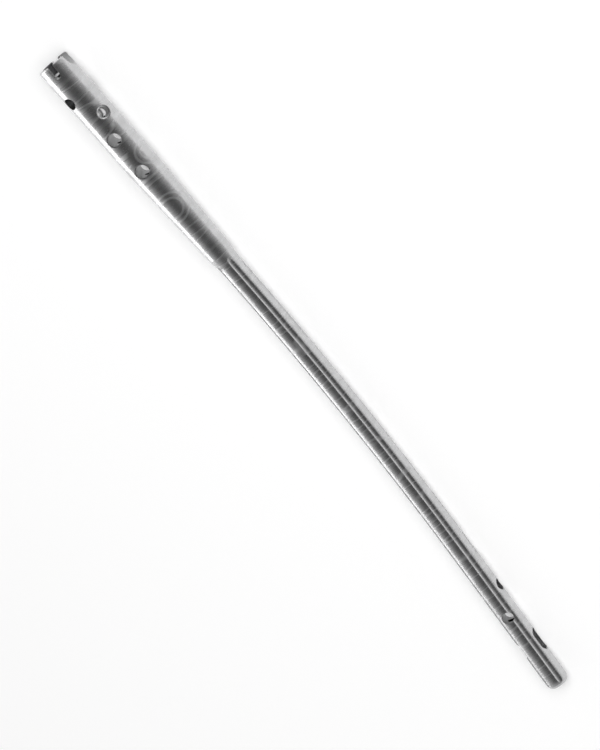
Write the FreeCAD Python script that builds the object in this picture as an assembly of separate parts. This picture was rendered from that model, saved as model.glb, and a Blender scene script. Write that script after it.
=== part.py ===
"""Cannulated intramedullary nail for a femur: one turned, bent and milled titanium piece.

All sizes are in millimetres and all angles in degrees.
The nail is drawn with the origin at the centre of its proximal end face.
There +X runs distally along the straight head, +Y is the convex side of the bow,
and the angle of a hole is measured from +Z towards +Y.
At the end it is moved so that the origin is on its axis where the bore's thread starts,
and turned about that point into the attitude in which it lies on a table.
"""
import FreeCAD, Part

import math
import os

V = FreeCAD.Vector

# Head: the thick proximal end
HEAD_DIA = 13.0
HEAD_LENGTH = 48.0
HEAD_EDGE_RADIUS = 0.5

# Neck: a long cone, then a short shoulder down to the shaft
CONE_LENGTH = 46.0
CONE_END_DIA = 10.3
SHOULDER_LENGTH = 4.5

# Shaft: straight, bowed, and straight again up to the nose
NAIL_LENGTH = 300.0
SHAFT_DIA = 9.0
BOW_OFFSET = 2.5
BOW_RADIUS = 1530.0
BOW_ANGLE = 5.2
NOSE_LENGTH = 3.2
NOSE_FLAT_DIA = 5.0

# Flutes along the shaft
FLUTE_COUNT = 5
FLUTE_DEPTH = 0.4
FLUTE_RADIUS = 1.85
FLUTE_OFFSET = 1.0
FLUTE_RUN_OUT_RADIUS = 7.0
FLUTE_RUN_OUT_ANGLE = 75.0
FLUTE_FIRST_ANGLE = 28.5

# Cannulation, and the bore that takes the insertion handle's bolt
CANNULA_DIA = 3.4
PILOT_DIA = 8.4
PILOT_DEPTH = 4.4
THREAD_DIA = 7.0
THREAD_DEPTH = 12.0
BORE_MOUTH_CHAMFER = 0.4
NOSE_MOUTH_CHAMFER = 0.3

# Slot and notch that key the insertion handle
END_SLOT_WIDTH = 2.7
END_SLOT_DEPTH = 5.7
END_SLOT_ANGLE = 0.0
END_SLOT_FLARE = 0.5
NOTCH_WIDTH = 6.6
NOTCH_DEPTH = 5.8
NOTCH_ANGLE = 90.0

# Locking holes of the head: distance along the centre line, angle, diameter, mouth chamfer
OBLIQUE_HOLE = {"distance": 15.6, "angle": -40.0, "dia": 4.8, "chamfer": 0.2}
THREADED_HOLE = {"distance": 25.5, "angle": 38.0, "dia": 5.0, "chamfer": 0.3}
HEAD_HOLE = {"distance": 36.0, "angle": 0.0, "dia": 5.2, "chamfer": 0.4}
NECK_HOLE = {"distance": HEAD_LENGTH + 3.5, "angle": 0.0, "dia": 5.2, "chamfer": 0.4}

# Locking holes of the shaft, placed from the tip
SIDE_HOLE = {"distance": NAIL_LENGTH - 44.5, "angle": 90.0, "dia": 5.0}
FRONT_HOLE = {"distance": NAIL_LENGTH - 32.7, "angle": 0.0, "dia": 4.5}

# Distal slot, through both side walls
SIDE_SLOT_CENTRE = NAIL_LENGTH - 19.0
SIDE_SLOT_LENGTH = 9.7
SIDE_SLOT_WIDTH = 5.2
SIDE_SLOT_ANGLE = 90.0

# Flat relief pocket on the convex side
POCKET_CENTRE = NAIL_LENGTH - 63.5
POCKET_LENGTH = 10.6
POCKET_DEPTH = 0.62
POCKET_ANGLE = 90.0
POCKET_END_SLOPE = 45.0

# Attitude on a table: the convex side rolls down and the slim end dips
LIE_ROLL = 11.4
LIE_PITCH = 1.0

HEAD_R = HEAD_DIA / 2
SHAFT_R = SHAFT_DIA / 2
PILOT_R = PILOT_DIA / 2
THREAD_R = THREAD_DIA / 2
CANNULA_R = CANNULA_DIA / 2
THREAD_START = PILOT_DEPTH + PILOT_R - THREAD_R
CONE_END = HEAD_LENGTH + CONE_LENGTH
SHOULDER_END = CONE_END + SHOULDER_LENGTH
FLUTE_START = SHOULDER_END + FLUTE_OFFSET
BOW_START = SHOULDER_END + BOW_OFFSET
BOW_END = BOW_START + BOW_RADIUS * math.radians(BOW_ANGLE)
NOSE_START = NAIL_LENGTH - NOSE_LENGTH
TOOL_REACH = HEAD_DIA
OVERRUN = 1.0
TOUCHING = 0.001
ORIGIN = V(0, 0, 0)
X_AXIS = V(1, 0, 0)
Y_AXIS = V(0, 1, 0)
Z_AXIS = V(0, 0, 1)
BOW_CENTRE = V(BOW_START, -BOW_RADIUS, 0)


def station(distance):
    """Placement at a distance along the centre line, with its own +X along the nail."""
    if distance <= BOW_START:
        return FreeCAD.Placement(V(distance, 0, 0), FreeCAD.Rotation())
    turn = min(math.degrees((distance - BOW_START) / BOW_RADIUS), BOW_ANGLE)
    swing = FreeCAD.Rotation(Z_AXIS, -turn)
    on_bow = BOW_CENTRE + swing.multVec(V(0, BOW_RADIUS, 0))
    beyond = max(distance - BOW_END, 0)
    return FreeCAD.Placement(on_bow + swing.multVec(V(beyond, 0, 0)), swing)


def place(shape, distance, angle=0.0):
    """Put a shape drawn about X at the origin at a distance along the nail and at a hole angle."""
    turn = FreeCAD.Placement(ORIGIN, FreeCAD.Rotation(X_AXIS, -angle))
    placed = shape.copy()
    placed.transformShape(station(distance).multiply(turn).toMatrix())
    return placed


def disc(dia):
    """Round face in the YZ plane."""
    circle = Part.Circle(ORIGIN, X_AXIS, dia / 2)
    return Part.Face(Part.Wire(circle.toShape()))


def revolved(points):
    """Solid turned about X from (x, radius) points, closed along the axis."""
    rim = [V(x, 0, radius) for x, radius in points]
    first = V(points[0][0], 0, 0)
    last = V(points[-1][0], 0, 0)
    outline = Part.makePolygon([first] + rim + [last, first])
    return Part.Face(outline).revolve(ORIGIN, X_AXIS, 360)


def carry_along_nail(section, start, end):
    """Carry a section of the YZ plane along the nail: straight, through the bow, straight."""
    bow = place(section, BOW_START).revolve(BOW_CENTRE, Z_AXIS, -BOW_ANGLE)
    heading = station(end).Rotation.multVec(V(end - BOW_END, 0, 0))
    pieces = [bow, place(section, BOW_END).extrude(heading)]
    if start < BOW_START:
        pieces.append(place(section, start).extrude(V(BOW_START - start, 0, 0)))
    return pieces[0].fuse(pieces[1:])


def flute_angles():
    """Angles of the flutes, evenly spread round the shaft."""
    return [FLUTE_FIRST_ANGLE + 360.0 * i / FLUTE_COUNT for i in range(FLUTE_COUNT)]


def flute_profile():
    """Round profile of one flute, drawn at angle zero in the YZ plane."""
    profile = disc(2 * FLUTE_RADIUS)
    profile.translate(V(0, 0, SHAFT_R - FLUTE_DEPTH + FLUTE_RADIUS))
    return profile


def flute_run_out():
    """Cutter for one flute's start, lifting out of the neck on an arc."""
    profile = flute_profile()
    pivot = V(0, 0, SHAFT_R - FLUTE_DEPTH + FLUTE_RUN_OUT_RADIUS)
    lift = profile.revolve(pivot, Y_AXIS, FLUTE_RUN_OUT_ANGLE)
    onward = profile.extrude(V(BOW_START - FLUTE_START, 0, 0))
    return lift.fuse(onward)


def head_and_neck():
    """Head cylinder with a rounded end edge, long cone, shoulder and the flutes' starts."""
    body = revolved([
        (0, HEAD_R),
        (HEAD_LENGTH, HEAD_R),
        (CONE_END, CONE_END_DIA / 2),
        (SHOULDER_END, SHAFT_R),
        (BOW_START, SHAFT_R),
    ])
    rim = [e for e in body.Edges if e.BoundBox.XMax < TOUCHING and e.Length > math.pi * HEAD_R]
    body = body.makeFillet(HEAD_EDGE_RADIUS, rim)
    for angle in flute_angles():
        body = body.cut(place(flute_run_out(), FLUTE_START, angle))
    return body


def fluted_rod():
    """Fluted shaft from the start of the bow to the nose."""
    section = disc(SHAFT_DIA)
    for angle in flute_angles():
        section = section.cut(place(flute_profile(), 0, angle))
    return carry_along_nail(section, BOW_START, NOSE_START)


def nose():
    """Blunt nose on a quarter ellipse, with the flutes running out through it."""
    flat_r = NOSE_FLAT_DIA / 2
    along = V(NOSE_LENGTH, 0, flat_r)
    across = V(0, 0, SHAFT_R)
    if NOSE_LENGTH >= SHAFT_R - flat_r:
        ellipse = Part.Ellipse(along, across, V(0, 0, flat_r))
    else:
        ellipse = Part.Ellipse(across, along, V(0, 0, flat_r))
    low = ellipse.parameter(along)
    high = ellipse.parameter(across)
    curve = Part.Arc(ellipse, min(low, high), max(low, high)).toShape()
    rest = Part.makePolygon([along, V(NOSE_LENGTH, 0, 0), ORIGIN, across])
    body = Part.Face(Part.Wire(Part.__sortEdges__([curve] + rest.Edges)))
    body = body.revolve(ORIGIN, X_AXIS, 360)
    cutter = flute_profile().extrude(V(NOSE_LENGTH + OVERRUN, 0, 0))
    for angle in flute_angles():
        turned = cutter.copy()
        turned.rotate(ORIGIN, X_AXIS, -angle)
        body = body.cut(turned)
    return place(body, NOSE_START)


def distance_from_line(point, line_point, line_direction):
    """Distance of a point from a line."""
    return (point - line_point).cross(line_direction).Length


def mouth_edges(body, hole):
    """Edges where a hole's wall meets the outer surface."""
    seat = station(hole["distance"])
    across = FreeCAD.Rotation(X_AXIS, -hole["angle"]).multVec(Z_AXIS)
    direction = seat.Rotation.multVec(across)
    found = []
    for edge in body.Edges:
        points = edge.discretize(5)
        gaps = [distance_from_line(p, seat.Base, direction) - hole["dia"] / 2 for p in points]
        heights = [(p - seat.Base).dot(direction) for p in points]
        on_wall = max(abs(gap) for gap in gaps) < TOUCHING
        runs_along = abs(heights[-1] - heights[0]) > edge.Length - TOUCHING
        at_middle = max(abs(height) for height in heights) < TOUCHING
        if on_wall and not runs_along and not at_middle:
            found.append(edge)
    return found


def drill(body, hole):
    """Drill one locking hole from both sides, each time up to the centre line."""
    for side in (Z_AXIS, -Z_AXIS):
        cutter = Part.makeCylinder(hole["dia"] / 2, TOOL_REACH, ORIGIN, side)
        body = body.cut(place(cutter, hole["distance"], hole["angle"]))
    return body


def drill_and_chamfer(body, hole):
    """Cut one locking hole through both walls and chamfer its two mouths."""
    drilled = drill(body, hole)
    return drilled.makeChamfer(hole["chamfer"], mouth_edges(drilled, hole))


def side_slot():
    """Cutter for the distal slot: a stadium through both side walls."""
    half = (SIDE_SLOT_LENGTH - SIDE_SLOT_WIDTH) / 2
    end_r = SIDE_SLOT_WIDTH / 2
    cutter = Part.makeBox(2 * half, SIDE_SLOT_WIDTH, 2 * TOOL_REACH, V(-half, -end_r, -TOOL_REACH))
    for x in (-half, half):
        cutter = cutter.fuse(Part.makeCylinder(end_r, 2 * TOOL_REACH, V(x, 0, -TOOL_REACH)))
    return place(cutter.removeSplitter(), SIDE_SLOT_CENTRE, SIDE_SLOT_ANGLE)


def relief_pocket():
    """Cutter for the flat pocket with sloping ends."""
    floor = SHAFT_R - POCKET_DEPTH
    top = SHAFT_R + OVERRUN
    slope = math.tan(math.radians(POCKET_END_SLOPE))
    floor_half = POCKET_LENGTH / 2 - POCKET_DEPTH / slope
    top_half = floor_half + (top - floor) / slope
    outline = Part.makePolygon([
        V(-floor_half, -TOOL_REACH, floor),
        V(floor_half, -TOOL_REACH, floor),
        V(top_half, -TOOL_REACH, top),
        V(-top_half, -TOOL_REACH, top),
        V(-floor_half, -TOOL_REACH, floor),
    ])
    cutter = Part.Face(outline).extrude(V(0, 2 * TOOL_REACH, 0))
    return place(cutter, POCKET_CENTRE, POCKET_ANGLE)


def end_slot():
    """Cutter for the slot across the end: flared mouth, straight walls, full round bottom."""
    half = END_SLOT_WIDTH / 2
    flare = END_SLOT_FLARE
    bottom = END_SLOT_DEPTH - half
    bend = flare * (1 - math.sqrt(0.5))
    edges = []
    for side in (-1, 1):
        mouth = V(0, side * (half + flare), 0)
        waist = V(flare, side * half, 0)
        middle = V(bend, side * (half + bend), 0)
        edges.append(Part.Arc(mouth, middle, waist).toShape())
        edges.append(Part.makeLine(waist, V(bottom, side * half, 0)))
        edges.append(Part.makeLine(mouth, V(-OVERRUN, side * (half + flare), 0)))
    round_end = Part.Arc(V(bottom, -half, 0), V(END_SLOT_DEPTH, 0, 0), V(bottom, half, 0))
    edges.append(round_end.toShape())
    edges.append(Part.makeLine(V(-OVERRUN, -half - flare, 0), V(-OVERRUN, half + flare, 0)))
    outline = Part.Face(Part.Wire(Part.__sortEdges__(edges)))
    outline.translate(V(0, 0, -TOOL_REACH))
    return place(outline.extrude(V(0, 0, 2 * TOOL_REACH)), 0, END_SLOT_ANGLE)


def end_notch():
    """Cutter for the wide notch in one wall of the end, half an ellipse deep."""
    half = NOTCH_WIDTH / 2
    if NOTCH_DEPTH >= half:
        ellipse = Part.Ellipse(V(NOTCH_DEPTH, 0, 0), V(0, half, 0), ORIGIN)
    else:
        ellipse = Part.Ellipse(V(0, half, 0), V(NOTCH_DEPTH, 0, 0), ORIGIN)
    outline = Part.Face(Part.Wire(ellipse.toShape()))
    return place(outline.extrude(V(0, 0, TOOL_REACH)), 0, NOTCH_ANGLE)


def handle_bore():
    """Cutter for the chamfered mouth, pilot bore, thread bore and the cone to the cannulation."""
    return revolved([
        (-OVERRUN, PILOT_R + BORE_MOUTH_CHAMFER + OVERRUN),
        (BORE_MOUTH_CHAMFER, PILOT_R),
        (PILOT_DEPTH, PILOT_R),
        (THREAD_START, THREAD_R),
        (THREAD_DEPTH, THREAD_R),
        (THREAD_DEPTH + THREAD_R - CANNULA_R, CANNULA_R),
    ])


def cannulation():
    """Cutter for the wire channel along the whole nail, with a chamfered mouth at the tip."""
    channel = carry_along_nail(disc(CANNULA_DIA), THREAD_DEPTH, NAIL_LENGTH + OVERRUN)
    mouth = revolved([
        (-NOSE_MOUTH_CHAMFER, CANNULA_R),
        (OVERRUN, CANNULA_R + NOSE_MOUTH_CHAMFER + OVERRUN),
    ])
    return channel.fuse(place(mouth, NAIL_LENGTH))


def make_nail():
    """The whole nail as one solid, in its drawn frame."""
    body = head_and_neck().fuse([fluted_rod(), nose()]).removeSplitter()
    for hole in (OBLIQUE_HOLE, THREADED_HOLE, HEAD_HOLE, NECK_HOLE):
        body = drill_and_chamfer(body, hole)
    for hole in (SIDE_HOLE, FRONT_HOLE):
        body = drill(body, hole)
    for cutter in (side_slot(), relief_pocket(), end_slot(), end_notch()):
        body = body.cut(cutter)
    return body.cut(handle_bore()).cut(cannulation())


def lie_down(body):
    """Move the thread's start to the origin and turn the nail into the attitude in which it lies."""
    body.translate(V(-THREAD_START, 0, 0))
    body.rotate(ORIGIN, X_AXIS, -LIE_ROLL)
    body.rotate(ORIGIN, Y_AXIS, LIE_PITCH)
    return body


def main():
    """Write the nail as one STEP solid."""
    os.makedirs("parts", exist_ok=True)
    nail = lie_down(make_nail())
    solid = nail.Solids[0]
    print("solids", len(nail.Solids), "valid", solid.isValid(), "volume", round(solid.Volume, 1))
    solid.exportStep("parts/nail.step")


main()
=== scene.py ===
"""Scene of the cannulated bone nail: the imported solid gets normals, threads, finishes and a studio.

Lengths of the nail are in millimetres along its centre line, as in the part's source.
There a point has three values: the distance from the flat proximal end, the offset towards the
bow's convex side and the offset along the drawn +Z.
Everything that goes into Blender is in metres, in the row frame.
"""
import logging
import math
from abc import ABC, abstractmethod
from dataclasses import dataclass, field
from enum import Enum

import bmesh
import bpy
import numpy as np
from mathutils import Matrix, Vector


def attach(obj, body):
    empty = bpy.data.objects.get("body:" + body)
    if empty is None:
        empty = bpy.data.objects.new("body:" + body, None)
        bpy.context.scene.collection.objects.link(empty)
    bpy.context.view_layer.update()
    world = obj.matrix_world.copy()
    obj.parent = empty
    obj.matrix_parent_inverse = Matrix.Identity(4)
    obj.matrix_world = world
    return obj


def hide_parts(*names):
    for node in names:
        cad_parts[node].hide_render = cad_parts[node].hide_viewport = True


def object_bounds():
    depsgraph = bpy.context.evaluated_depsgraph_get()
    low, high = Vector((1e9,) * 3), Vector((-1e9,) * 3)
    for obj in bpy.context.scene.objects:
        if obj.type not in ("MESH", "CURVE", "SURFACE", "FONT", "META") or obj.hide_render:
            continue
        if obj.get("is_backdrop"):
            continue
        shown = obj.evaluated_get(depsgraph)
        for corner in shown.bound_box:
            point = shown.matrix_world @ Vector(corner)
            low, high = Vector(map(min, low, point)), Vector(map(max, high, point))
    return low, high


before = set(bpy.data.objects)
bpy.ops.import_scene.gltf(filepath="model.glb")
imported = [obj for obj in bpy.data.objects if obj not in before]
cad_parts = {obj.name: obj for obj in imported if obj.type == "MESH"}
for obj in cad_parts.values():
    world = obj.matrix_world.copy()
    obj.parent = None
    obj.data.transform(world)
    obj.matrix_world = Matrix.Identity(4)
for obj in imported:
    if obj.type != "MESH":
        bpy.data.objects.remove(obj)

Array = np.ndarray
Pair = tuple[float, float]
Triple = tuple[float, float, float]
Socket = bpy.types.NodeSocket

LOG = logging.getLogger("nail")
MM = 0.001
FULL_TURN = 2.0 * math.pi
TINY = 1e-9
END_SLACK = 0.01


class Machining(Enum):
    """How a surface was made, as the number of its material on the skin. Each but the polished one also
    has its own copy of the titanium colour: the darker copies are painted shade and the lighter ones
    painted light.
    """

    POLISHED = 0
    DRILLED_PAINTED_SHADE = 1
    BORE_PAINTED_SHADE = 2
    TAPPED_PAINTED_LIGHT = 3
    RINGED_PAINTED_SHADE = 4
    MILLED_PAINTED_LIGHT = 5


class Side(Enum):
    """Which way the metal's outside lies from a turned surface."""

    OUTSIDE = 1.0
    INSIDE = -1.0


class Lights(Enum):
    """What a lamp lights: metal by its reflection, or the paper below."""

    METAL = "metal"
    PAPER = "paper"


@dataclass(frozen=True)
class NailShape:
    """Driving sizes of the nail, in millimetres and degrees."""

    head_radius: float = 6.5
    head_length: float = 48.0
    head_edge_radius: float = 0.5
    cone_end: float = 94.0
    cone_end_radius: float = 5.15
    shoulder_end: float = 98.5
    shaft_radius: float = 4.5
    bow_start: float = 101.0
    bow_radius: float = 1530.0
    bow_angle: float = 5.2
    length: float = 300.0
    nose_length: float = 3.2
    nose_flat_radius: float = 2.5
    flute_count: int = 5
    flute_depth: float = 0.4
    flute_radius: float = 1.85
    flute_start: float = 99.5
    flute_run_out_radius: float = 7.0
    flute_first_angle: float = 28.5
    channel_radius: float = 1.7
    pilot_radius: float = 4.2
    pilot_depth: float = 4.4
    thread_radius: float = 3.5
    thread_start: float = 5.1
    thread_depth: float = 12.0
    bore_chamfer: float = 0.4
    nose_chamfer: float = 0.3
    end_slot_radius: float = 1.35
    end_slot_depth: float = 5.7
    end_slot_flare: float = 0.5
    notch_half_width: float = 3.3
    notch_depth: float = 5.8
    lie_roll: float = 11.4
    lie_pitch: float = 1.0

    @property
    def lie(self) -> Array:
        """Rotation from the drawn nail to the attitude in which it lies: roll about X, pitch about Y.

        Returns:
            (3, 3) matrix.
        """
        roll = Matrix.Rotation(-math.radians(self.lie_roll), 3, "X")
        pitch = Matrix.Rotation(math.radians(self.lie_pitch), 3, "Y")
        return np.array(pitch @ roll)

    @property
    def bow_turn(self) -> float:
        """Angle of the whole bow, in radians."""
        return math.radians(self.bow_angle)

    def to_nail(self, points: Array) -> Array:
        """Straighten points of the row frame.

        On the bow the distance is the bow's radius times the angle about its centre, and the offset
        is the reach from that centre less the radius. Before and after it both are straight.

        Args:
            points: (n, 3) points in metres, in the row frame.

        Returns:
            (n, 3) points along the centre line, in millimetres.
        """
        drawn = points / MM @ self.lie
        drawn[:, 0] += self.thread_start
        along = drawn[:, 0] - self.bow_start
        from_centre = drawn[:, 1] + self.bow_radius
        turn = self.turn_at(drawn[:, 0])
        on_bow = np.clip(np.arctan2(along, from_centre), 0.0, self.bow_turn)
        beyond = along * np.cos(turn) - from_centre * np.sin(turn)
        past_end = np.where(turn >= self.bow_turn, np.maximum(beyond, 0.0), 0.0)
        distance = self.bow_start + np.minimum(along, 0.0) + on_bow * self.bow_radius + past_end
        bent = along * np.sin(turn) + from_centre * np.cos(turn) - self.bow_radius
        offset = np.where(along > 0.0, bent, drawn[:, 1])
        return np.column_stack([distance, offset, drawn[:, 2]])

    def turn_at(self, drawn_x: Array) -> Array:
        """Heading of the centre line: the arc sine of the way past the bow's start over its radius."""
        ratio = np.clip((drawn_x - self.bow_start) / self.bow_radius, 0.0, 1.0)
        return np.minimum(np.arcsin(ratio), self.bow_turn)

    def to_row(self, nail_points: Array) -> Array:
        """Bend points along the centre line into the row frame: the inverse of to_nail.

        Args:
            nail_points: (n, 3) points along the centre line, in millimetres.

        Returns:
            (n, 3) points in metres, in the row frame.
        """
        distance, offset, height = nail_points.T
        turn = np.clip((distance - self.bow_start) / self.bow_radius, 0.0, self.bow_turn)
        beyond = np.maximum(distance - self.bow_start - self.bow_turn * self.bow_radius, 0.0)
        reach = self.bow_radius + offset
        x = np.minimum(distance, self.bow_start) + reach * np.sin(turn) + beyond * np.cos(turn)
        y = reach * np.cos(turn) - self.bow_radius - beyond * np.sin(turn)
        drawn = np.column_stack([x - self.thread_start, y, height])
        return drawn @ self.lie.T * MM

    def vectors_to_row(self, distance: Array, vectors: Array) -> Array:
        """Turn directions along the centre line by its heading and into the lying attitude.

        Args:
            distance: (n,) distances at which the directions are taken.
            vectors: (n, 3) directions along the centre line.

        Returns:
            (n, 3) directions in the row frame.
        """
        turn = np.clip((distance - self.bow_start) / self.bow_radius, 0.0, self.bow_turn)
        cos, sin = np.cos(turn), np.sin(turn)
        x = vectors[:, 0] * cos + vectors[:, 1] * sin
        y = vectors[:, 1] * cos - vectors[:, 0] * sin
        return np.column_stack([x, y, vectors[:, 2]]) @ self.lie.T


def unit_rows(vectors: Array) -> Array:
    """Scale each row to length one."""
    return vectors / np.maximum(np.linalg.norm(vectors, axis=1), TINY)[:, None]


def sine_and_cosine(degrees: float) -> Pair:
    """Sine and cosine of an angle in degrees."""
    return math.sin(math.radians(degrees)), math.cos(math.radians(degrees))


def off_ellipse(scaled: Array, half_axes: Pair) -> Array:
    """Distance from an ellipse to first order: how far the scaled length is from one, over its slope.

    Args:
        scaled: (n, 2) offsets from the centre, each over its half axis.
        half_axes: the two half axes.

    Returns:
        (n,) distances.
    """
    size = np.maximum(np.hypot(*scaled.T), TINY)
    slope = np.maximum(np.hypot(*(scaled / half_axes).T) / size, TINY)
    return np.abs(size - 1.0) / slope


def add_object(name: str, data: bpy.types.ID) -> bpy.types.Object:
    """Make an object from its data and link it to the scene.

    Args:
        name: the object's name.
        data: its mesh, lamp or camera.

    Returns:
        The new object.
    """
    made = bpy.data.objects.new(name, data)
    bpy.context.scene.collection.objects.link(made)
    return made


@dataclass(frozen=True, kw_only=True)
class Surface(ABC):
    """One exact surface of the nail, in distances along the centre line."""

    machined: Machining = Machining.POLISHED

    @abstractmethod
    def gap(self, points: Array) -> Array:
        """Distance of points from the surface.

        Args:
            points: (n, 3) points along the centre line.

        Returns:
            (n,) distances in millimetres, infinite where the surface doesn't reach.
        """

    @abstractmethod
    def normal(self, points: Array) -> Array:
        """Direction out of the metal.

        Args:
            points: (n, 3) points on the surface, along the centre line.

        Returns:
            (n, 3) unit vectors along the centre line.
        """


@dataclass(frozen=True)
class Turned(Surface):
    """Cylinder or cone about the centre line, from one (distance, radius) to another."""

    start: Pair
    end: Pair
    side: Side = Side.OUTSIDE

    @property
    def heading(self) -> Array:
        """Unit vector along the profile, in distance and radius."""
        run = np.subtract(self.end, self.start)
        return run / np.linalg.norm(run)

    def gap(self, points: Array) -> Array:
        """Distance from the profile line, by the cross product with its heading.

        Args:
            points: (n, 3) points along the centre line.

        Returns:
            (n,) distances, infinite before the profile's start and past its end.
        """
        run, rise = self.heading
        radius = np.hypot(points[:, 1], points[:, 2])
        off = np.abs((radius - self.start[1]) * run - (points[:, 0] - self.start[0]) * rise)
        reach = np.maximum(self.start[0] - points[:, 0], points[:, 0] - self.end[0])
        return np.where(reach < END_SLACK, off, np.inf)

    def normal(self, points: Array) -> Array:
        """Radial direction tilted by the cone's slope, turned inwards for a bore."""
        run, rise = self.heading * self.side.value
        return np.column_stack([np.full(len(points), -rise), unit_rows(points[:, 1:]) * run])


@dataclass(frozen=True)
class Drilled(Surface):
    """Round hole, or slot with round ends, across the nail."""

    distance: float
    angle: float
    radius: float
    half_length: float = 0.0
    # By default a hole's wall is rougher and a little darker than the outside; the darker colour is
    # painted shade.
    machined: Machining = field(default=Machining.DRILLED_PAINTED_SHADE, kw_only=True)

    def offsets(self, points: Array) -> tuple[Array, Array]:
        """Offsets from the hole's axis, or from the nearest point of the slot's middle line.

        Args:
            points: (n, 3) points along the centre line.

        Returns:
            (n,) offsets along the nail and (n,) offsets across it.
        """
        sin, cos = sine_and_cosine(self.angle)
        along = points[:, 0] - self.distance
        along = along - np.clip(along, -self.half_length, self.half_length)
        return along, points[:, 1] * cos - points[:, 2] * sin

    def gap(self, points: Array) -> Array:
        """Distance from the axis less the radius."""
        return np.abs(np.hypot(*self.offsets(points)) - self.radius)

    def normal(self, points: Array) -> Array:
        """Direction from the wall to the hole's axis.

        Args:
            points: (n, 3) points along the centre line.

        Returns:
            (n, 3) unit vectors.
        """
        sin, cos = sine_and_cosine(self.angle)
        along, across = self.offsets(points)
        return -unit_rows(np.column_stack([along, across * cos, -across * sin]))


@dataclass(frozen=True)
class Flute(Surface):
    """Round groove along the shaft, with its start lifting out of the neck on an arc."""

    angle: float
    shape: NailShape

    @property
    def lift(self) -> float:
        """Height of the run-out arc's pivot over the groove's centre."""
        return self.shape.flute_run_out_radius - self.shape.flute_radius

    def offsets(self, points: Array) -> tuple[Array, Array, Array]:
        """Offsets from the groove's centre curve: a straight line, and before it an arc about the pivot.

        Args:
            points: (n, 3) points along the centre line.

        Returns:
            (n,) distances past the start, (n,) depths below the centre curve and (n,) offsets across.
        """
        sin, cos = sine_and_cosine(self.angle)
        centre = self.shape.shaft_radius - self.shape.flute_depth + self.shape.flute_radius
        along = points[:, 0] - self.shape.flute_start
        below = centre - (points[:, 1] * sin + points[:, 2] * cos)
        across = points[:, 1] * cos - points[:, 2] * sin
        from_pivot = np.hypot(np.minimum(along, 0.0), self.lift + below)
        return along, np.where(along < 0.0, from_pivot - self.lift, below), across

    def gap(self, points: Array) -> Array:
        """Distance from the centre curve less the groove's radius."""
        _, below, across = self.offsets(points)
        return np.abs(np.hypot(below, across) - self.shape.flute_radius)

    def normal(self, points: Array) -> Array:
        """Direction from the wall to the centre curve, turned with the arc before the start.

        Args:
            points: (n, 3) points along the centre line.

        Returns:
            (n, 3) unit vectors.
        """
        sin, cos = sine_and_cosine(self.angle)
        along, below, across = self.offsets(points)
        lean = np.minimum(along, 0.0) / (below + self.lift)
        upright = np.sqrt(np.maximum(1.0 - lean**2, 0.0))
        return unit_rows(np.column_stack([
            -lean * below,
            upright * below * sin - across * cos,
            upright * below * cos + across * sin,
        ]))


@dataclass(frozen=True)
class RoundedEdge(Surface):
    """Surface turned from an ellipse: the head's rounded edge or the nose."""

    centre: Pair
    half_axes: Pair
    limits: Pair

    def scaled(self, points: Array) -> Array:
        """Offsets from the ellipse's centre along the nail and outwards, each over its half axis."""
        profile = np.column_stack([points[:, 0], np.hypot(points[:, 1], points[:, 2])])
        return (profile - self.centre) / self.half_axes

    def gap(self, points: Array) -> Array:
        """Distance from the ellipse, infinite outside the limits."""
        reach = np.maximum(self.limits[0] - points[:, 0], points[:, 0] - self.limits[1])
        return np.where(reach < END_SLACK, off_ellipse(self.scaled(points), self.half_axes), np.inf)

    def normal(self, points: Array) -> Array:
        """Gradient of the ellipse, turned about the centre line."""
        along, out = (self.scaled(points) / self.half_axes).T
        return unit_rows(np.column_stack([along, unit_rows(points[:, 1:]) * out[:, None]]))


@dataclass(frozen=True)
class EndNotch(Surface):
    """Half-elliptic notch in the wall on the convex side of the proximal end."""

    half_axes: Pair

    def gap(self, points: Array) -> Array:
        """Distance from the ellipse, infinite on the other side of the nail."""
        off = off_ellipse(points[:, ::2] / self.half_axes, self.half_axes)
        return np.where(points[:, 1] > 0.0, off, np.inf)

    def normal(self, points: Array) -> Array:
        """Gradient of the ellipse, turned from the wall into the notch."""
        along, across = (points[:, ::2] / np.square(self.half_axes)).T
        return -unit_rows(np.column_stack([along, np.zeros(len(points)), across]))


@dataclass(frozen=True)
class SlotFlare(Surface):
    """Rounded edge of the end slot's mouth, on one side of the slot."""

    side: float
    half_width: float
    radius: float

    def offsets(self, points: Array) -> tuple[Array, Array]:
        """Offsets from the rounding's axis, along the nail and across the slot."""
        return points[:, 0] - self.radius, points[:, 1] - self.side * (self.half_width + self.radius)

    def gap(self, points: Array) -> Array:
        """Distance from the rounding's axis less its radius.

        Args:
            points: (n, 3) points along the centre line.

        Returns:
            (n,) distances, infinite outside the rounding's quarter.
        """
        along, across = self.offsets(points)
        near = (along < END_SLACK) & (across * self.side < END_SLACK)
        return np.where(near, np.abs(np.hypot(along, across) - self.radius), np.inf)

    def normal(self, points: Array) -> Array:
        """Direction away from the rounding's axis."""
        along, across = self.offsets(points)
        return unit_rows(np.column_stack([along, across, np.zeros(len(points))]))


@dataclass(frozen=True)
class MouthChamfer:
    """Narrow chamfer round a hole's mouth, shaded as a rounding."""

    hole: Drilled
    width: float
    reach: float = 1.6

    def holds(self, points: Array) -> Array:
        """Find the points on the chamfer or at its rims, by their distance outside the hole's wall."""
        out = np.hypot(*self.hole.offsets(points)) - self.hole.radius
        return (out > -END_SLACK) & (out < self.reach * self.width)


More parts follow.
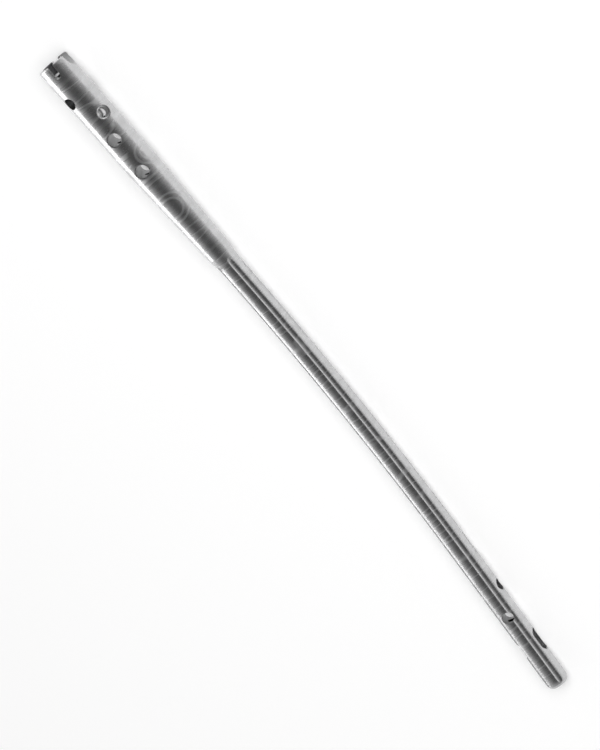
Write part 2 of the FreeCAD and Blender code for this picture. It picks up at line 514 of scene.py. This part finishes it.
@dataclass(frozen=True)
class HelicalRidge:
    """Thread ridge on the wall of a hole, cut off where the wall ends."""

    name: str
    radius: float
    pitch: float
    height: float
    start: float
    end: float
    fade: float = 0.35
    steps_per_turn: int = 56
    sink: float = 0.06
    foot_share: float = 0.44
    top_share: float = 0.1

    def crest(self, height: Array, angle: Array) -> Array:
        """Share of the full ridge height: the way into the wall over the fade, from none to one."""
        into = np.minimum(height - self.start, self.wall_end(angle) - height)
        return np.clip(into / self.fade, 0.0, 1.0)

    def wall_end(self, angle: Array) -> Array:
        """Height at which the wall ends, for each angle round the hole."""
        return np.full_like(angle, self.end)

    def grid(self) -> Array:
        """Carry the ridge's four-cornered section along the helix.

        The angle grows evenly from step to step, the height by one pitch a turn. The feet lie in the
        wall and the two tops stand off it by the ridge's height, times the share of the full height.

        Returns:
            (steps, 4, 3) points: two offsets across the hole and the height along it.
        """
        turns = (self.end - self.start) / self.pitch
        angle = np.linspace(0.0, turns * FULL_TURN, int(turns * self.steps_per_turn) + 1)
        height = self.start + angle / FULL_TURN * self.pitch
        share = self.crest(height, angle)
        foot = np.full_like(share, self.radius + self.sink)
        top = self.radius - self.height * share
        radii = np.column_stack([foot, top, top, foot])
        shares = np.array([-self.foot_share, -self.top_share, self.top_share, self.foot_share])
        heights = height[:, None] + self.pitch * shares * share[:, None]
        cos, sin = np.cos(angle)[:, None], np.sin(angle)[:, None]
        return np.stack([radii * cos, radii * sin, heights], axis=2)


@dataclass(frozen=True)
class CrossHoleRidge(HelicalRidge):
    """Thread ridge in one wall of a cross hole, which ends on the head's round outside."""

    outer_radius: float = 6.5
    inset: float = 0.3

    def wall_end(self, angle: Array) -> Array:
        """Height of the saddle: Pythagoras on the head's radius and the offset across it."""
        across = self.radius * np.sin(angle)
        return np.sqrt(self.outer_radius**2 - across**2) - self.inset


@dataclass(frozen=True)
class Grain:
    """How often a noise changes in a metre along each axis, and how many finer layers it has."""

    scale: Triple
    detail: float


@dataclass(frozen=True)
class NodeBoard:
    """Node tree of a material or of the world, with short ways to add and wire nodes."""

    tree: bpy.types.NodeTree

    def fill(self, node: bpy.types.Node, inputs: dict[str | int, object]) -> None:
        """Link or set a node's inputs.

        Args:
            node: the node.
            inputs: for each input an output to link, or a constant.
        """
        for socket, value in inputs.items():
            if isinstance(value, Socket):
                self.tree.links.new(value, node.inputs[socket])
            else:
                node.inputs[socket].default_value = value

    def add(self, kind: str, inputs: dict[str | int, object], **settings: object) -> bpy.types.Node:
        """Add a node, set its properties and fill its inputs.

        Args:
            kind: the node's type.
            inputs: for each input an output to link, or a constant.
            settings: its properties and their values.

        Returns:
            The new node.
        """
        node = self.tree.nodes.new(kind)
        for name, value in settings.items():
            setattr(node, name, value)
        self.fill(node, inputs)
        return node

    def calculate(self, operation: str, *values: Socket | float, clamp: bool = False) -> Socket:
        """Result of an operation on outputs or numbers, held between none and one if clamped."""
        node = self.add("ShaderNodeMath", dict(enumerate(values)), operation=operation, use_clamp=clamp)
        return node.outputs[0]

    def map_range(self, source: Socket, limits: Pair, results: Pair, smooth: bool = False) -> Socket:
        """Map a value from one range to another, held at both ends.

        Args:
            source: the value.
            limits: the range it comes from.
            results: the range it goes to.
            smooth: whether it eases in and out.

        Returns:
            The mapped value's output.
        """
        ends = zip(("From Min", "From Max", "To Min", "To Max"), (*limits, *results))
        easing = "SMOOTHSTEP" if smooth else "LINEAR"
        node = self.add("ShaderNodeMapRange", {"Value": source, **dict(ends)}, interpolation_type=easing)
        return node.outputs["Result"]

    def ramp(self, source: Socket, stops: list[tuple[float, Triple]]) -> Socket:
        """Colour ramp with straight runs between its stops.

        Args:
            source: the place on the ramp, from none to one.
            stops: each stop's place and colour, in order.

        Returns:
            The colour's output.
        """
        node = self.add("ShaderNodeValToRGB", {"Fac": source})
        elements = node.color_ramp.elements
        for place, colour in stops[1:-1]:
            elements.new(place).color = (*colour, 1.0)
        for element, (place, colour) in ((elements[0], stops[0]), (elements[-1], stops[-1])):
            element.position = place
            element.color = (*colour, 1.0)
        return node.outputs["Color"]

    def noise(self, place: Socket, grain: Grain) -> Socket:
        """Noise stretched along the nail's axes.

        Args:
            place: object coordinates.
            grain: how fine it is.

        Returns:
            The noise's output.
        """
        mapping = self.add("ShaderNodeMapping", {"Vector": place, "Scale": grain.scale})
        inputs = {"Vector": mapping.outputs["Vector"], "Scale": 1.0, "Detail": grain.detail}
        return self.add("ShaderNodeTexNoise", inputs).outputs["Fac"]


@dataclass(frozen=True)
class Swirl:
    """Faint oval rings round one point of the surface, left by a polishing wheel, in metres."""

    centre: Triple
    rings: tuple[float, ...]
    squash: Triple = (1.0, 0.85, 0.85)
    clear: Pair = (0.0065, 0.0075)


@dataclass(frozen=True)
class TitaniumFinish:
    """Titanium with faint bands, rings and marks left by turning and polishing."""

    colour: Triple = (0.58, 0.58, 0.585)
    roughness: float = 0.25
    ring_strength: float = 0.9
    ring_roughness: float = 0.3
    ring_tint: float = 0.2
    ring_width: float = 0.0006
    ring_level: float = 0.5
    ring_spread: float = 0.03
    fine_share: float = 0.4
    fine_limits: Pair = (0.5, 0.72)
    wear: Pair = (-0.04, 0.06)
    band_contrast: float = 0.07
    band_limits: Pair = (0.35, 0.7)
    bands: Grain = Grain((230.0, 6.0, 6.0), 2.0)
    worn: Grain = Grain((1100.0, 420.0, 420.0), 3.0)
    rings: Grain = Grain((190.0, 22.0, 22.0), 0.0)
    fine_rings: Grain = Grain((560.0, 5.0, 5.0), 1.0)
    marks: Grain = Grain((9000.0, 60.0, 60.0), 2.0)
    mark_depth: float = 0.000004
    mark_strength: float = 0.5
    edge_radius: float = 0.00016
    edge_samples: int = 6
    swirls: tuple[Swirl, ...] = ()

    def build(self, name: str) -> bpy.types.Material:
        """Make the material from procedural nodes on object coordinates.

        Args:
            name: the material's name.

        Returns:
            The new material.
        """
        material = bpy.data.materials.new(name)
        material.use_nodes = True
        board = NodeBoard(material.node_tree)
        place = board.add("ShaderNodeTexCoord", {}).outputs["Object"]
        rings = self._rings(board, place)
        board.fill(material.node_tree.nodes["Principled BSDF"], {
            "Metallic": 1.0,
            "Base Color": self._tint(board, place, rings),
            "Roughness": self._polish(board, place, rings),
            "Normal": self._marks(board, place),
        })
        return material

    def _line(self, board: NodeBoard, value: Socket, level: float, width: float) -> Socket:
        """Line of the rings' strength where a value crosses a level, easing out over a width."""
        off = board.calculate("ABSOLUTE", board.calculate("SUBTRACT", value, level))
        return board.map_range(off, (0.0, width), (self.ring_strength, 0.0), smooth=True)

    def _rings(self, board: NodeBoard, place: Socket) -> Socket:
        """Thin rings where a slow noise crosses its middle, fine ones, and the swirls on clear ground.

        Args:
            board: the material's nodes.
            place: object coordinates.

        Returns:
            The rings' output, from none to one.
        """
        rings = self._line(board, board.noise(place, self.rings), self.ring_level, self.ring_spread)
        strength = (0.0, self.fine_share * self.ring_strength)
        fine = board.map_range(board.noise(place, self.fine_rings), self.fine_limits, strength)
        rings = board.calculate("ADD", rings, fine)
        for swirl in self.swirls:
            parts = {0: place, 1: swirl.squash}
            squashed = board.add("ShaderNodeVectorMath", parts, operation="MULTIPLY").outputs["Vector"]
            ends = {0: squashed, 1: np.multiply(swirl.centre, swirl.squash)}
            away = board.add("ShaderNodeVectorMath", ends, operation="DISTANCE").outputs["Value"]
            clear = board.map_range(away, swirl.clear, (0.0, 1.0), smooth=True)
            rings = board.calculate("MULTIPLY", rings, clear)
            for ring in swirl.rings:
                rings = board.calculate("ADD", rings, self._line(board, away, ring, self.ring_width))
        return rings

    def _tint(self, board: NodeBoard, place: Socket, rings: Socket) -> Socket:
        """Colour that swings round the finish's own in wide bands, and is lighter on the rings.

        Args:
            board: the material's nodes.
            place: object coordinates.
            rings: the rings' output.

        Returns:
            The colour's output.
        """
        levels = (1.0 - self.band_contrast, 1.0 + self.band_contrast)
        stops = [
            (limit, tuple(min(part * level, 1.0) for part in self.colour))
            for limit, level in zip(self.band_limits, levels)
        ]
        bands = board.ramp(board.noise(place, self.bands), stops)
        lighter = board.map_range(rings, (0.0, 1.0), (1.0, 1.0 + self.ring_tint))
        scaled = board.add("ShaderNodeVectorMath", {0: bands, "Scale": lighter}, operation="SCALE")
        return scaled.outputs["Vector"]

    def _polish(self, board: NodeBoard, place: Socket, rings: Socket) -> Socket:
        """Roughness: the finish's own with its wear, more on the rings.

        Args:
            board: the material's nodes.
            place: object coordinates.
            rings: the rings' output.

        Returns:
            The roughness's output.
        """
        limits = (self.roughness + self.wear[0], self.roughness + self.wear[1])
        polish = board.map_range(board.noise(place, self.worn), (0.0, 1.0), limits)
        return board.calculate("ADD", polish, board.calculate("MULTIPLY", rings, self.ring_roughness))

    def _marks(self, board: NodeBoard, place: Socket) -> Socket:
        """Normal: edges softly broken, and fine marks across the nail as a bump.

        Args:
            board: the material's nodes.
            place: object coordinates.

        Returns:
            The normal's output.
        """
        edge = board.add("ShaderNodeBevel", {"Radius": self.edge_radius}, samples=self.edge_samples)
        bump = board.add("ShaderNodeBump", {
            "Normal": edge.outputs["Normal"],
            "Height": board.noise(place, self.marks),
            "Distance": self.mark_depth,
            "Strength": self.mark_strength,
        })
        return bump.outputs["Normal"]


def read_items(
    items: bpy.types.bpy_prop_collection, name: str, width: int, kind: type = float,
) -> Array:
    """Read one property of a mesh's vertices, corners or faces.

    Args:
        items: the collection.
        name: the property.
        width: how many numbers each item has.
        kind: the type of a number.

    Returns:
        (items, width) array.
    """
    values = np.empty(len(items) * width, dtype=kind)
    items.foreach_get(name, values)
    return values.reshape(-1, width)


@dataclass(frozen=True)
class NailSkin:
    """The nail as shown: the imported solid's mesh, welded and given exact normals."""

    shape: NailShape
    surfaces: tuple[Surface, ...]
    chamfers: tuple[MouthChamfer, ...]
    weld: float = 1e-6
    sharp_angle: float = 30.0
    on_surface: float = 0.008
    facet_turn: float = 38.0
    chamfer_turn: float = 70.0

    def build(
        self, node: bpy.types.Object, finishes: dict[Machining, bpy.types.Material],
    ) -> bpy.types.Object:
        """Copy the node's mesh, weld it, and set its normals and finishes.

        Args:
            node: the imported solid's object, which stays as it is.
            finishes: the material for each way of machining.

        Returns:
            The new object, which stands for the node.
        """
        mesh = node.data.copy()
        mesh.name = "nail_skin"
        work = bmesh.new()
        work.from_mesh(mesh)
        bmesh.ops.remove_doubles(work, verts=work.verts, dist=self.weld)
        work.to_mesh(mesh)
        work.free()
        mesh.materials.clear()
        for machining in Machining:
            mesh.materials.append(finishes[machining])
        mesh.shade_smooth()
        mesh.set_sharp_from_angle(angle=math.radians(self.sharp_angle))
        normals, machined = self.exact_faces(mesh)
        mesh.polygons.foreach_set("material_index", machined)
        mesh.normals_split_custom_set(normals)
        return add_object("nail_skin", mesh)

    def exact_faces(self, mesh: bpy.types.Mesh) -> tuple[Array, Array]:
        """Find the exact surface of each face and read its normals there.

        A face lies on a surface when its three corners do. Where several fit, the one whose normals
        are nearest to the face's own is taken. Faces on none keep the mesh's normals.

        Args:
            mesh: the welded mesh, all triangles.

        Returns:
            (corners, 3) normals, and for each face the number of its machining.
        """
        points = read_items(mesh.vertices, "co", 3)
        faces = read_items(mesh.loops, "vertex_index", 1, np.int64).reshape(-1, 3)
        flat = read_items(mesh.polygons, "normal", 3)
        exact = read_items(mesh.corner_normals, "vector", 3).reshape(-1, 3, 3)
        straight = self.shape.to_nail(points)
        best = np.full(len(faces), math.cos(math.radians(self.facet_turn)))
        found = np.zeros(len(faces), dtype=bool)
        machined = np.full(len(faces), Machining.POLISHED.value, dtype=np.int32)
        for surface in self.surfaces:
            near = surface.gap(straight) < self.on_surface
            chosen = np.flatnonzero(near[faces].all(axis=1))
            ends = faces[chosen].ravel()
            out = self.shape.vectors_to_row(straight[ends, 0], surface.normal(straight[ends]))
            out = out.reshape(-1, 3, 3)
            alike = np.einsum("fci,fi->fc", out, flat[chosen]).min(axis=1)
            better = alike > best[chosen]
            exact[chosen[better]] = out[better]
            best[chosen[better]] = alike[better]
            found[chosen[better]] = True
            machined[chosen[better]] = surface.machined.value
        self.round_chamfers(straight, faces, flat, exact, found)
        LOG.info("nail_skin: %d of %d faces lie on an exact surface", found.sum(), len(faces))
        return exact.reshape(-1, 3), machined

    def round_chamfers(
        self, straight: Array, faces: Array, flat: Array, exact: Array, found: Array,
    ) -> None:
        """Give the mouth chamfers the mean normals of the surfaces they join, to read as roundings.

        Args:
            straight: (vertices, 3) points along the centre line.
            faces: (faces, 3) vertex numbers.
            flat: (faces, 3) normals of the faces.
            exact: (faces, 3, 3) corner normals, changed in place.
            found: (faces,) whether each face lies on an exact surface.
        """
        total = np.zeros((len(straight), 3))
        np.add.at(total, faces[found].ravel(), exact[found].reshape(-1, 3))
        known = np.linalg.norm(total, axis=1) > TINY
        total = unit_rows(total)
        least = math.cos(math.radians(self.chamfer_turn))
        for chamfer in self.chamfers:
            chosen = np.flatnonzero(chamfer.holds(straight)[faces].all(axis=1) & ~found)
            alike = np.einsum("fci,fi->fc", total[faces[chosen]], flat[chosen])
            use = (alike > least) & known[faces[chosen]]
            block = exact[chosen]
            block[use] = total[faces[chosen]][use]
            exact[chosen] = block


@dataclass(frozen=True)
class Thread:
    """A helical ridge set into a hole of the nail."""

    ridge: HelicalRidge
    distance: float
    angle: float
    across: bool
    sharp_angle: float = 35.0

    def build(self, shape: NailShape, material: bpy.types.Material) -> bpy.types.Object:
        """Close the ridge's grid into a mesh and place it in its hole.

        Args:
            shape: the nail's sizes.
            material: the thread's finish.

        Returns:
            The new object.
        """
        grid = self.ridge.grid()
        steps, corners, _ = grid.shape
        ring = np.arange(corners)
        rows = np.arange(steps - 1)[:, None] * corners
        first, turned = (rows + ring).ravel(), (rows + (ring + 1) % corners).ravel()
        quads = np.column_stack([first, turned, turned + corners, first + corners])
        caps = np.array([ring[::-1], corners * (steps - 1) + ring])
        mesh = bpy.data.meshes.new(self.ridge.name)
        points = shape.to_row(self.placed(grid.reshape(-1, 3)))
        mesh.from_pydata(points.tolist(), [], np.vstack([quads, caps]).tolist())
        work = bmesh.new()
        work.from_mesh(mesh)
        bmesh.ops.recalc_face_normals(work, faces=work.faces)
        work.to_mesh(mesh)
        work.free()
        mesh.materials.append(material)
        mesh.shade_smooth()
        mesh.set_sharp_from_angle(angle=math.radians(self.sharp_angle))
        return add_object(self.ridge.name, mesh)

    def placed(self, points: Array) -> Array:
        """Put a hole's own coordinates on the nail: along it for the bore, else across at the angle.

        Args:
            points: (n, 3) points: two offsets across the hole and the height along it.

        Returns:
            (n, 3) points along the centre line.
        """
        first, second, height = points.T
        if not self.across:
            return np.column_stack([self.distance + height, first, second])
        sin, cos = sine_and_cosine(self.angle)
        return np.column_stack([
            self.distance + first, second * cos + height * sin, height * cos - second * sin,
        ])


@dataclass(frozen=True)
class Nail:
    """The whole nail: skin and threads."""

    shape: NailShape = field(default_factory=NailShape)
    bore_thread: Pair = (1.25, 0.42)
    bore_thread_ends: Pair = (1.2, 0.3)
    cross_thread: Pair = (0.8, 0.42)
    cross_thread_span: Pair = (1.7, 6.3)

    def finishes(self) -> dict[Machining, TitaniumFinish]:
        """Finish of each way of machining. Only the polished one has the titanium's own colour. The
        others are darker copies for painted shade in the bore, the drilled holes and the front hole, and
        lighter copies for painted light in the tapped hole and the notch.

        Returns:
            The finishes, in the order of the skin's materials.
        """
        swirls = (self.swirl(69.0, -8.0, (3.85, 5.75)), self.swirl(46.8, 68.0, (2.9, 4.7)))
        return {
            Machining.POLISHED: TitaniumFinish(swirls=swirls),
            # Drilled walls: rougher, and a little darker titanium: painted shade in the holes.
            Machining.DRILLED_PAINTED_SHADE: TitaniumFinish((0.52, 0.52, 0.525), roughness=0.30, ring_strength=0.3),
            # Bore and channel: near-black titanium, painted shade inside them.
            Machining.BORE_PAINTED_SHADE: TitaniumFinish((0.11, 0.11, 0.113), roughness=0.40, ring_strength=0.15),
            # Tapped hole and its threads: much lighter titanium, painted light.
            Machining.TAPPED_PAINTED_LIGHT: TitaniumFinish((0.86, 0.86, 0.865), roughness=0.30, ring_strength=0.15),
            # Front hole: darker titanium, painted shade, with real deep marks as a bump.
            Machining.RINGED_PAINTED_SHADE: TitaniumFinish(
                (0.40, 0.40, 0.405), roughness=0.35, ring_strength=0.15,
                marks=Grain((60.0, 60.0, 1500.0), 2.0), mark_depth=0.00008,
            ),
            # Notch: rough titanium in a much lighter copy, painted light on its face.
            Machining.MILLED_PAINTED_LIGHT: TitaniumFinish((0.90, 0.90, 0.905), roughness=0.60, ring_strength=0.15),
        }

    def swirl(self, distance: float, angle: float, rings: tuple[float, ...]) -> Swirl:
        """Rings round a point on the head or the cone.

        Args:
            distance: the point's distance from the proximal end.
            angle: its angle round the nail, in degrees.
            rings: their radii.

        Returns:
            The swirl, in metres in the row frame.
        """
        s = self.shape
        radius = np.interp(distance, [s.head_length, s.cone_end], [s.head_radius, s.cone_end_radius])
        turn = math.radians(angle)
        point = s.to_row(np.array([[distance, radius * math.sin(turn), radius * math.cos(turn)]]))[0]
        return Swirl(tuple(point.tolist()), tuple(ring * MM for ring in rings))

    def holes(self) -> dict[str, tuple[Drilled, float]]:
        """Holes across the nail, each with the width of its mouth's chamfer.

        Returns:
            The holes by name, in order along the nail.
        """
        return {
            "oblique": (Drilled(15.6, -40.0, 2.4), 0.2),
            # Its wall is the lighter copy of the titanium: painted light.
            "threaded": (Drilled(25.5, 38.0, 2.5, machined=Machining.TAPPED_PAINTED_LIGHT), 0.3),
            "head": (Drilled(36.0, 0.0, 2.6), 0.4),
            "neck": (Drilled(51.5, 0.0, 2.6), 0.4),
            "side": (Drilled(255.5, 90.0, 2.5), 0.0),
            # Its wall is the darker copy of the titanium: painted shade.
            "front": (Drilled(267.3, 0.0, 2.25, machined=Machining.RINGED_PAINTED_SHADE), 0.0),
            "slot": (Drilled(281.0, 90.0, 2.6, 2.25), 0.0),
        }

    def outside(self) -> list[Surface]:
        """Turned outside from the end face to the nose, and the flutes along it.

        Returns:
            The surfaces, in order along the nail.
        """
        s = self.shape
        nose_start = s.length - s.nose_length
        nose_size = (s.nose_length, s.shaft_radius - s.nose_flat_radius)
        edge = s.head_edge_radius
        profile = [
            (0.0, s.head_radius), (s.head_length, s.head_radius), (s.cone_end, s.cone_end_radius),
            (s.shoulder_end, s.shaft_radius), (nose_start, s.shaft_radius),
        ]
        turned = [Turned(a, b) for a, b in zip(profile[:-1], profile[1:])]
        roundings = [
            RoundedEdge((edge, s.head_radius - edge), (edge, edge), (0.0, edge)),
            RoundedEdge((nose_start, s.nose_flat_radius), nose_size, (nose_start, s.length)),
        ]
        angles = s.flute_first_angle + np.arange(s.flute_count) * 360.0 / s.flute_count
        flutes = [Flute(angle, s) for angle in angles.tolist()]
        return turned + roundings + flutes

    def bore(self) -> list[Surface]:
        """Walls of the long bore and the channel, in a near-black copy of the titanium: painted shade.
        The step where the thread starts keeps the polished finish and is bright.

        Returns:
            The surfaces, in order along the nail.
        """
        s = self.shape
        step = (s.pilot_depth, s.pilot_radius)
        profile = [
            (0.0, s.pilot_radius + s.bore_chamfer),
            (s.bore_chamfer, s.pilot_radius),
            step,
            (s.thread_start, s.thread_radius),
            (s.thread_depth, s.thread_radius),
            (s.thread_depth + s.thread_radius - s.channel_radius, s.channel_radius),
            (s.length - s.nose_chamfer, s.channel_radius),
            (s.length, s.channel_radius + s.nose_chamfer),
        ]
        # Every wall but the step gets the near-black copy of the titanium: painted shade.
        return [
            Turned(a, b, Side.INSIDE, machined=Machining.POLISHED if a == step else Machining.BORE_PAINTED_SHADE)
            for a, b in zip(profile[:-1], profile[1:])
        ]

    def end_cuts(self) -> list[Surface]:
        """Walls of the slot and the notch across the proximal end.

        Returns:
            The slot's end, the notch, and the slot's two flares.
        """
        s = self.shape
        slot_end = Drilled(s.end_slot_depth - s.end_slot_radius, 0.0, s.end_slot_radius)
        flares = [SlotFlare(side, s.end_slot_radius, s.end_slot_flare) for side in (1.0, -1.0)]
        # The notch's walls get the lighter copy of the titanium: painted light.
        notch = EndNotch((s.notch_depth, s.notch_half_width), machined=Machining.MILLED_PAINTED_LIGHT)
        return [slot_end, notch, *flares]

    def threads(self) -> list[Thread]:
        """Threads of the bore and of the cross hole's two walls.

        Returns:
            The three threads.
        """
        s = self.shape
        hole, _ = self.holes()["threaded"]
        first, last = self.bore_thread_ends
        depth = s.thread_depth - s.thread_start
        bore = HelicalRidge("bore_thread", s.thread_radius, *self.bore_thread, first, depth - last)
        near, far = (
            CrossHoleRidge(name, hole.radius, *self.cross_thread, *self.cross_thread_span)
            for name in ("cross_thread_near", "cross_thread_far")
        )
        return [
            Thread(bore, s.thread_start, 0.0, across=False),
            Thread(near, hole.distance, hole.angle, across=True),
            Thread(far, hole.distance, hole.angle + 180.0, across=True),
        ]

    def build(self) -> list[bpy.types.Object]:
        """Build the skin and the threads, all fixed to the one body.

        Returns:
            The new objects.
        """
        finishes = {
            machining: finish.build(f"titanium_{machining.name.lower()}")
            for machining, finish in self.finishes().items()
        }
        across = [hole for hole, _ in self.holes().values()]
        surfaces = self.outside() + self.bore() + self.end_cuts() + across
        chamfers = [MouthChamfer(hole, width) for hole, width in self.holes().values() if width]
        cover = NailSkin(self.shape, tuple(surfaces), tuple(chamfers))
        skin = cover.build(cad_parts["nail"], finishes)
        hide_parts("nail")
        pieces = [skin]
        for thread in self.threads():
            # The bore's thread gets the painted-shade copy of the titanium, the cross hole's threads the
            # painted-light one.
            machining = Machining.TAPPED_PAINTED_LIGHT if thread.across else Machining.BORE_PAINTED_SHADE
            pieces.append(thread.build(self.shape, finishes[machining]))
        for piece in pieces:
            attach(piece, "root")
        return pieces


def direction(azimuth: float, elevation: float) -> Vector:
    """Unit vector of a compass direction and an elevation, in degrees."""
    (sin, cos), (height, flat) = sine_and_cosine(azimuth), sine_and_cosine(elevation)
    return Vector((flat * cos, flat * sin, height))


@dataclass(frozen=True)
class Softbox:
    """Soft light that looks at the nail."""

    name: str
    azimuth: float
    elevation: float
    distance: float
    size: Pair
    radiance: float
    lights: Lights

    def build(self, target: Vector) -> None:
        """Place the light on its direction from the target, at its radiance times pi times its area.

        Args:
            target: the point it looks at.
        """
        lamp = bpy.data.lights.new(self.name, "AREA")
        lamp.shape = "RECTANGLE"
        lamp.size, lamp.size_y = self.size
        lamp.energy = self.radiance * math.pi * self.size[0] * self.size[1]
        light = add_object(self.name, lamp)
        light.visible_glossy = self.lights is Lights.METAL
        light.visible_diffuse = self.lights is Lights.PAPER
        away = direction(self.azimuth, self.elevation)
        light.location = target + away * self.distance
        light.rotation_euler = away.to_track_quat("Z", "Y").to_euler()


@dataclass(frozen=True)
class Studio:
    """Pale floor, soft boxes and a dome that darkens overhead and towards the nail's open end."""

    floor_size: float = 6.0
    floor_colour: float = 0.9
    floor_roughness: float = 0.9
    floor_shine: float = 0.1
    floor_lift: float = 0.22
    dome_axis: Pair = (90.0, 75.0)
    dome_stops: tuple[Pair, ...] = (
        (-1.0, 0.9), (0.0, 0.68), (0.3, 0.55), (0.45, 0.47), (0.6, 0.36), (0.74, 0.26), (0.85, 0.16),
        (0.96, 0.10), (1.0, 0.09),
    )
    end_shade: float = 0.4
    end_shade_limits: Pair = (-0.75, -0.3)
    boxes: tuple[Softbox, ...] = (
        Softbox("side_light", -110.0, 14.0, 1.5, (1.6, 0.68), 3.3, Lights.METAL),
        Softbox("front_light", 103.0, 64.0, 1.6, (1.5, 1.5), 3.1, Lights.PAPER),
    )

    def build(self, low: Vector, high: Vector) -> None:
        """Build floor, lights and world round the object's box.

        Args:
            low: the box's low corner.
            high: the box's high corner.
        """
        centre = (low + high) / 2
        self._floor(low.z, centre)
        for box in self.boxes:
            box.build(centre)
        self._dome()

    def _floor(self, height: float, centre: Vector) -> None:
        """Square sheet of pale paper under the nail.

        It shines a little by itself to the camera and in reflections, so that it reads as white
        paper and still keeps the nail's shadow.

        Args:
            height: where it lies.
            centre: the point it lies under.
        """
        half = self.floor_size / 2
        corners = [(-half, -half), (half, -half), (half, half), (-half, half)]
        mesh = bpy.data.meshes.new("floor")
        mesh.from_pydata([(centre.x + x, centre.y + y, height) for x, y in corners], [], [(0, 1, 2, 3)])
        material = bpy.data.materials.new("floor_paper")
        material.use_nodes = True
        board = NodeBoard(material.node_tree)
        ray = board.add("ShaderNodeLightPath", {}).outputs
        seen = board.calculate("ADD", ray["Is Camera Ray"], ray["Is Glossy Ray"], clamp=True)
        seen = board.calculate("ADD", seen, ray["Is Transmission Ray"], clamp=True)
        board.fill(material.node_tree.nodes["Principled BSDF"], {
            "Base Color": (*[self.floor_colour] * 3, 1.0),
            "Roughness": self.floor_roughness,
            "Specular IOR Level": self.floor_shine,
            "Emission Color": (1.0, 1.0, 1.0, 1.0),
            "Emission Strength": board.map_range(seen, (0.0, 1.0), (0.0, self.floor_lift)),
        })
        mesh.materials.append(material)
        floor = add_object("floor", mesh)
        floor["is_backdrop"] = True

    def _dome(self) -> None:
        """World light by the cosine of the angle from the dome's pole, less towards the open end."""
        world = bpy.data.worlds.new("dome")
        bpy.context.scene.world = world
        world.use_nodes = True
        board = NodeBoard(world.node_tree)
        towards = board.add("ShaderNodeTexCoord", {}).outputs["Generated"]
        ends = {0: towards, 1: direction(*self.dome_axis)}
        cosines = board.add("ShaderNodeVectorMath", ends, operation="DOT_PRODUCT").outputs["Value"]
        place = board.map_range(cosines, (-1.0, 1.0), (0.0, 1.0))
        stops = [((cosine + 1.0) / 2.0, (level,) * 3) for cosine, level in self.dome_stops]
        along = board.add("ShaderNodeSeparateXYZ", {0: towards}).outputs["X"]
        shades = (1.0 - self.end_shade, 1.0)
        board.fill(world.node_tree.nodes["Background"], {
            "Color": board.ramp(place, stops),
            "Strength": board.map_range(along, self.end_shade_limits, shades, smooth=True),
        })


@dataclass(frozen=True)
class ViewPoint:
    """Camera at the photograph's angle, far away behind a long lens."""

    azimuth: float = 103.293
    elevation: float = 60.013
    roll: float = 217.511
    distance: float = 3.0
    frame_height: float = 0.27714
    aim_along: float = 150.0
    aim_shift: Pair = (-0.00693, -0.00264)
    sensor: float = 24.0
    clip_end: float = 20.0

    def build(self, shape: NailShape) -> None:
        """Make the camera and put it in charge of the scene.

        It looks at a point of the centre line, moved a little in the picture's plane. The lens is
        the sensor's height times the distance over the height of the frame at the nail.

        Args:
            shape: the nail's sizes.
        """
        towards = direction(self.azimuth, self.elevation)
        level = Vector((0.0, 0.0, 1.0)).cross(towards).normalized()
        upright = towards.cross(level)
        sin, cos = sine_and_cosine(self.roll)
        right = level * cos + upright * sin
        up = upright * cos - level * sin
        middle = Vector(shape.to_row(np.array([[self.aim_along, 0.0, 0.0]]))[0])
        middle += right * self.aim_shift[0] + up * self.aim_shift[1]
        lens = bpy.data.cameras.new("camera")
        lens.sensor_fit = "VERTICAL"
        lens.sensor_height = self.sensor
        lens.lens = self.sensor * self.distance / self.frame_height
        lens.clip_end = self.clip_end
        camera = add_object("camera", lens)
        turn = Matrix((right, up, towards)).transposed().to_4x4()
        camera.matrix_world = Matrix.Translation(middle + towards * self.distance) @ turn
        bpy.context.scene.camera = camera


def main() -> None:
    """Dress the nail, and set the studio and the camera."""
    logging.basicConfig(level=logging.INFO, format="%(name)s: %(message)s")
    cad_low, cad_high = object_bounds()
    nail = Nail()
    for piece in nail.build():
        LOG.info("piece %s: %d faces", piece.name, len(piece.data.polygons))
    Studio().build(Vector(cad_low), Vector(cad_high))
    ViewPoint().build(nail.shape)
    bpy.context.scene.view_settings.view_transform = "Standard"


if __name__ == "__main__":
    main()
